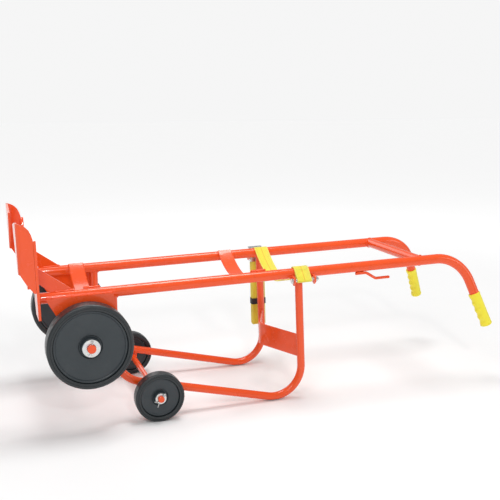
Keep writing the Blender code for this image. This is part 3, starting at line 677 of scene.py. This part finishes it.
def weld_tubes(word, side):
    """Beads where the cross tube and the legs meet the rail, and on the brace."""
    def round_cross_tube(a):
        flank = RAIL_RADIUS * math.cos(math.asin(0.98 * math.sin(a))) + 0.0004
        return on_rail(CROSS_TUBE_X + 0.0174 * math.cos(a), side * (RAIL_Y - flank), 0.0172 * math.sin(a))

    ring_weld(f"cross_tube_weld_{word}", round_cross_tube, 0.0024)
    ring = LEG_RADIUS + 0.0006
    for name, x in (("front", LEG_FRONT_X), ("rear", LEG_REAR_X - 0.0053)):
        def round_leg(a):
            under = math.sqrt(RAIL_RADIUS ** 2 - (ring * math.sin(a)) ** 2) + 0.0008
            return on_rail(x + ring * math.cos(a), side * RAIL_Y + ring * math.sin(a), -under)

        ring_weld(f"leg_weld_{name}_{word}", round_leg, 0.0024)
    weld(f"brace_weld_{word}", [from_axle(0.6925, side * 0.1772, z) for z in (0.138, 0.209)], 0.0030)


def weld_fittings(word, side):
    """Beads round the main axle, on the strap ears and on the small axle's lug."""
    ring = BIG["bore"] + 0.0009
    for name, y in (("outer", 0.2136), ("inner", 0.2068)):
        ring_weld(f"axle_weld_{name}_{word}",
                  lambda a: from_axle(ring * math.cos(a), side * y, AXLE_Z + ring * math.sin(a)), 0.0022)
    from_a, to_a = (-12, -62) if side > 0 else (192, 242)
    flank = arc(side * RAIL_Y, 0, RAIL_RADIUS + 0.0004, from_a, to_a, 6)
    for name, x in (("front", STRAP_X - 0.035), ("rear", STRAP_X + 0.035)):
        weld(f"ear_weld_{name}_{word}", [on_rail(x - 0.0032, y, h) for y, h in flank], 0.0018)
    under_skid = from_axle(SMALL_AXLE_X, 0, SKID_Z_AT_AXLE - LEG_RADIUS * 0.86)
    for name, offset in (("outer", 0.0062), ("inner", -0.0062)):
        middle = under_skid + Vector((0, side * RAIL_Y + offset, 0))
        weld(f"lug_weld_{name}_{word}", [middle + SKID_DIRECTION * d for d in (-0.013, 0.013)], 0.0022)


def make_welds():
    for word, side in SIDES.items():
        weld_toe(word, side)
        weld_tubes(word, side)
        weld_fittings(word, side)


# ---------------------------------------------------------------- wheels and axles; w is BIG or SMALL
def tyre_profile(w):
    """Half the tyre from its seat over a raised band on the sidewall to the tread, then its mirror."""
    r, half, step, soft = w["radius"], w["half"], w["step"], w["shoulder"]
    wall = r - soft - step
    outside = [(step + 0.0003, half - 0.0065), (step + 0.0012, half - 0.0012), (step + 0.0030, half - 0.0004),
               (step + wall * 0.62, half - 0.0002), (step + wall * 0.68, half - 0.0011),
               (step + wall * 0.76, half - 0.0011), (step + wall * 0.82, half)]
    outside += arc(r - soft, half - soft, soft, 90, 0, 8)
    outside += [(r - w["crown"] * 0.3, half * 0.45), (r, 0.0)]
    return outside + [(a, -b) for a, b in outside[-2::-1]]


def centre_profile(w):
    """Moulded disc: rim lip, sloped step to a flat web, a shallow ring and a drafted hub boss."""
    step, web, hub, half_hub = w["step"], w["web"], w["hub"], w["hub_half"]
    seat = w["bore"] + BORE_GAP + SLEEVE_WALL + BORE_GAP
    rim = w["half"] - 0.006
    outside = [(seat, half_hub), (hub - 0.0025, half_hub), (hub - 0.0006, half_hub - 0.0007),
               (hub, half_hub - 0.0026), (hub + 0.0006, web - 0.0016), (hub + 0.0016, web - 0.0030),
               (hub + 0.0042, web - 0.0030), (hub + 0.0056, web - 0.0016), (hub + 0.0066, web - 0.0002),
               (hub + 0.0078, web), (step - 0.0105, web), (step - 0.0085, web + 0.0004),
               (step - 0.0058, rim - 0.0008), (step - 0.0042, rim - 0.0001), (step - 0.0022, rim),
               (step - 0.0008, rim - 0.0006), (step, rim - 0.0020)]
    return outside + [(a, -b) for a, b in outside[::-1]]


def ring_profile(outer, inner, half):
    """A washer or sleeve section with its corners eased."""
    e = 0.0006
    return [(outer - e, half), (outer, half - e), (outer, e - half), (outer - e, -half), (inner + e, -half),
            (inner, e - half), (inner, half - e), (inner + e, half)]


def make_wheel(w, word, side):
    """Tyre, moulded centre and bearing sleeve on the wheel's body; washer, spacer and pin on the frame."""
    size = w["name"]
    body = f"{size}_wheel_{word}"

    def turned(part, profile, y, material, body="frame", sharp=38, steps=96):
        shape = lathe(profile, from_axle(w["x"], side * y, w["z"]), side, steps)
        piece(f"{size}_{part}_{word}_skin", shape, material, body, (f"{size}_{part}_{word}",), sharp)

    inner = w["bore"] + BORE_GAP
    turned("tyre", tyre_profile(w), w["y"], RUBBER, body, 34)
    turned("wheel_centre", centre_profile(w), w["y"], PLASTIC, body, 34)
    turned("bearing", ring_profile(inner + SLEEVE_WALL, inner, w["hub_half"]), w["y"], ZINC, body, steps=64)
    turned("washer", ring_profile(w["washer"], inner, WASHER_HALF),
           w["y"] + w["hub_half"] + BORE_GAP + WASHER_HALF, ZINC, steps=72)
    hub_end = w["y"] - w["hub_half"] - BORE_GAP
    turned("spacer", ring_profile(inner + SPACER_WALL, inner, (hub_end - w["stop"]) / 2),
           (w["stop"] + hub_end) / 2, ZINC, steps=64)
    make_cotter(w, word, side)


def make_cotter(w, word, side):
    """A split pin: an eye of bent wire, two legs through the axle, spread at the far end."""
    turn = math.radians(w["pin_turn"])
    along = Vector((math.sin(turn), 0, math.cos(turn)))
    across = Vector((math.cos(turn), 0, -math.sin(turn)))
    middle = from_axle(w["x"], side * (w["end"] - PIN_INSET), w["z"])
    wire, spread = w["wire"], w["spread"]
    reach = w["bore"] + 0.0035
    eye_half_length, eye_half_width = 0.0032, 0.0030

    def place(offset, up, out):
        return middle + across * (offset + out) + along * up

    eye = [place(0, reach + eye_half_length * (1 - math.cos(a)), eye_half_width * math.sin(a))
           for a in (math.pi * i / 10 for i in range(1, 20))]
    leg_in = [place(wire, -reach - 0.0085 * spread, 0.0050), place(wire, -reach - 0.0015, 0.0012),
              place(wire, -reach, 0), place(wire, reach - 0.001, 0)]
    leg_out = [place(-wire, reach - 0.001, 0), place(-wire, -reach, 0),
               place(-wire, -reach - 0.0015, -0.0012), place(-wire, -reach - 0.0052, -0.0075 * spread)]
    points = resample(leg_in + eye + leg_out, 90)
    piece(f"{w['name']}_cotter_pin_{word}_skin", loft(tube(points, wire, 10)), ZINC,
          stands_for=(f"{w['name']}_cotter_pin_{word}",), sharp=60)


def make_axle(w):
    """A painted axle with chamfered ends."""
    radius, end = w["bore"], w["end"]
    back, off = AXLE_CHAMFER
    stations = [(-end, radius - off), (-end + back, radius), (end - back, radius), (end, radius - off)]
    points = [from_axle(w["x"], y, w["z"]) for y, _ in stations]
    piece(f"{w['axle']}_skin", loft(tube(points, [r for _, r in stations], 48)), PAINT,
          stands_for=(w["axle"],))


# ---------------------------------------------------------------- strap
def strap_line():
    """The webbing's middle line in (y, h), from the near ears over both rails to the cam buckle."""
    over = RAIL_RADIUS + STRAP_GAP + STRAP_THICK / 2
    leave = 90 + math.degrees(math.atan(2 * SAG / (RAIL_Y - over * 0.64)))
    near = [(-y, h) for y, h in arc(RAIL_Y, 0, over, 27, leave, 24)]
    edge_y, edge_h = near[-1]
    steps = 20
    fall = [(edge_y * (1 - i / steps), edge_h - SAG * (1 - (1 - i / steps) ** 2))
            for i in range(1, steps + 1)]
    rise = [(-y, h) for y, h in reversed(fall[:-1])]
    far = arc(RAIL_Y, 0, over, leave, 48, 18)
    return near + fall + rise + far


def tail_folds():
    """The way through the buckle, and the spare end folded to and fro below it."""
    top = STRAP_BOLT_H - TAIL_DROP
    bottom = top - TAIL_PLY
    turn = TAIL_PITCH / 2
    folds = [(TAIL_Y - 0.0030, 0.0113), (TAIL_Y - 0.0006, 0.0100), (TAIL_Y, 0.0080), (TAIL_Y, bottom)]
    for fold in range(TAIL_PLIES - 1):
        y = TAIL_Y + turn + fold * TAIL_PITCH
        if fold % 2 == 0:
            folds += arc(y, bottom, turn, 180, 360, 12)[1:] + [(y + turn, top)]
        else:
            folds += arc(y, top, turn, 180, 0, 12)[1:] + [(y + turn, bottom)]
    return folds


def lap_line(line):
    """The turned-back end of the webbing, lying on the start of the line."""
    flat = cross_section(line)
    tangents = directions(flat)
    lap, walked = [], 0.0
    for i in range(1, len(flat)):
        walked += (flat[i] - flat[i - 1]).length
        if walked > LAP[1]:
            break
        if walked > LAP[0]:
            lift = Vector((0, -tangents[i].z, tangents[i].y)) * (STRAP_THICK + LAP_GAP)
            lap.append((flat[i].y + lift.y, flat[i].z + lift.z))
    return lap


def smoothed(line):
    """The line with its points spaced evenly, so that the webbing bends in small steps."""
    points = cross_section(line)
    return [(p.y, p.z) for p in resample(points, int(path_length(points) / 0.0012))]


def make_strap():
    loop_r = STRAP_BOLT_R + STRAP_GAP + STRAP_THICK / 2
    loop = arc(-STRAP_BOLT_Y, STRAP_BOLT_H, loop_r, 180, 372, 16)
    main = loop[-1:] + strap_line()
    lap = lap_line(main)
    line = lap[::-1] + loop[:-1] + main + tail_folds()
    shape, length = band(smoothed(line), STRAP_X, STRAP_WIDTH, STRAP_THICK)
    strap = piece("drum_strap_webbing", shape, WEBBING, stands_for=("drum_strap",), sharp=75)
    stitching = make_stitching(lap)
    keeper = make_keeper()


def make_stitching(lap):
    """The box and cross sewn through the turned-back end."""
    steps = 60
    line = resample(cross_section(lap), steps)
    tangents = directions(line)
    shape = bmesh.new()

    def place(u, v):
        """On the lap's face: u across from its middle, v along it from 0 to 1."""
        at = v * steps
        index = min(int(at), steps - 1)
        point = line[index].lerp(line[index + 1], at - index)
        tangent = tangents[index]
        lift = Vector((0, -tangent.z, tangent.y)) * (STRAP_THICK / 2 + 0.0001)
        return on_rail(STRAP_X + u, point.y + lift.y, point.z + lift.z)

    low, high = STITCH_ENDS
    corners = [(-STITCH_EDGE, low), (STITCH_EDGE, low), (STITCH_EDGE, high), (-STITCH_EDGE, high)]
    runs = list(zip(corners, corners[1:] + corners[:1]))
    runs += [(corners[0], corners[2]), (corners[1], corners[3])]
    for (u0, v0), (u1, v1) in runs:
        for i in range(STITCHES_A_RUN):
            middle = (i + 0.5) / STITCHES_A_RUN
            half = STITCH_SHARE / 2 / STITCHES_A_RUN
            ends = [place(u0 + (u1 - u0) * t, v0 + (v1 - v0) * t)
                    for t in (middle - half, middle, middle + half)]
            add_stitch(shape, tube(ends, list(STITCH_RADII), 6))
    bmesh.ops.recalc_face_normals(shape, faces=shape.faces)
    return piece("strap_stitching", shape, THREAD, sharp=70)


def add_stitch(shape, rings):
    verts = [[shape.verts.new(p) for p in ring] for ring in rings]
    for first, second in zip(verts, verts[1:]):
        for j in range(len(first)):
            k = (j + 1) % len(first)
            shape.faces.new((first[j], first[k], second[k], second[j]))
    shape.faces.new(verts[0][::-1])
    shape.faces.new(verts[-1])


def make_keeper():
    """An elastic band that holds the folded tail together."""
    first = TAIL_Y - STRAP_THICK / 2 - KEEPER_GAP
    last = TAIL_Y + (TAIL_PLIES - 1) * TAIL_PITCH + STRAP_THICK / 2 + KEEPER_GAP
    r = KEEPER_CORNER
    w = STRAP_WIDTH / 2 + KEEPER_GAP - r
    loop = arc(w, last - r, r, 0, 90, 5) + arc(-w, last - r, r, 90, 180, 5)
    loop += arc(-w, first + r, r, 180, 270, 5) + arc(w, first + r, r, 270, 360, 5)
    low, high = KEEPER_H - KEEPER_HALF, KEEPER_H + KEEPER_HALF
    rings = []
    for i, (x, y) in enumerate(loop):
        before, after = Vector(loop[i - 1]), Vector(loop[(i + 1) % len(loop)])
        tangent = (after - before).normalized()
        out_x, out_y = x + tangent.y * KEEPER_THICK, y - tangent.x * KEEPER_THICK
        rings.append([on_rail(STRAP_X + x, y, low), on_rail(STRAP_X + out_x, out_y, low),
                      on_rail(STRAP_X + out_x, out_y, high), on_rail(STRAP_X + x, y, high)])
    return piece("tail_keeper", loft(rings, wrap=True), ELASTIC, sharp=50)


# ---------------------------------------------------------------- setting
def make_floor():
    """A pale floor that glows a little far off, so that it meets the background without a line."""
    bpy.ops.mesh.primitive_plane_add(size=FLOOR_SIZE, location=(0, 0, 0))
    floor = bpy.context.object
    floor.name = "floor"
    material, tree, shader = start_material("pale_floor", 0.8)
    where = object_place(tree)
    tint = mixed(tree, noise_of(tree, where, 1.5, 2.0), (0.90, 0.90, 0.90), (0.93, 0.93, 0.93))
    tree.links.new(tint, shader.inputs["Base Color"])
    shader.inputs["Specular IOR Level"].default_value = 0.1
    away = add_node(tree, "ShaderNodeVectorMath", {"operation": "LENGTH"}, i0=where).outputs["Value"]
    glow = ramp(tree, maths(tree, "DIVIDE", away, 10.0), (0.10, 0.0), (0.36, 0.54))
    shader.inputs["Emission Color"].default_value = (1.0, 1.0, 1.0, 1)
    tree.links.new(glow, shader.inputs["Emission Strength"])
    floor.data.materials.append(material)


def make_world():
    """White all round: dimmer as a light than as the background that the camera sees."""
    world = bpy.data.worlds.new("studio")
    world.use_nodes = True
    seen = add_node(world.node_tree, "ShaderNodeLightPath").outputs["Is Camera Ray"]
    strength = ramp(world.node_tree, seen, (0.0, 0.42), (1.0, 0.92))
    background = world.node_tree.nodes["Background"]
    background.inputs["Color"].default_value = (1.0, 1.0, 1.0, 1)
    world.node_tree.links.new(strength, background.inputs["Strength"])
    bpy.context.scene.world = world


def make_lamps():
    """Square area lamps, all turned to the middle of the dolly: place, size in metres, power in watts."""
    target = Vector((0, 0, 0.3))
    lamps = (("key", (-1.7, -2.4, 2.6), 1.2, 20.0), ("overhead", (0.2, 0.1, 2.9), 1.2, 47.0),
             ("front", (-0.5, -3.0, 1.9), 0.22, 15.0), ("fill", (2.8, -2.0, 1.4), 1.4, 13.0),
             ("back", (-0.6, 3.0, 2.0), 1.8, 14.0))
    for name, place, size, power in lamps:
        light = bpy.data.lights.new(name, "AREA")
        light.size = size
        light.energy = power
        lamp = bpy.data.objects.new(name, light)
        lamp.location = place
        lamp.rotation_euler = (target - Vector(place)).to_track_quat("-Z", "Y").to_euler()
        bpy.context.scene.collection.objects.link(lamp)


def make_camera():
    """The camera as solved from the catalogue sizes, tilted down and turned right of square on."""
    down, right = 10.4695, 19.0272
    camera = bpy.data.cameras.new("camera")
    camera.lens = 59.6
    camera.sensor_width = 36.0
    camera.clip_end = 100.0
    eye = bpy.data.objects.new("camera", camera)
    eye.location = from_axle(-0.3172, -2.6155, 0.9807)
    eye.rotation_euler = (math.radians(90 - down), 0, math.radians(-right))
    bpy.context.scene.collection.objects.link(eye)
    bpy.context.scene.camera = eye
    bpy.context.scene.view_settings.view_transform = "Standard"


# ---------------------------------------------------------------- assembly
make_floor()
make_world()
make_lamps()
make_camera()
make_rails()
make_legs()
make_saddles()
make_plates()
make_hook()
make_welds()
for size in (BIG, SMALL):
    make_axle(size)
    for word, side in SIDES.items():
        make_wheel(size, word, side)
make_strap()
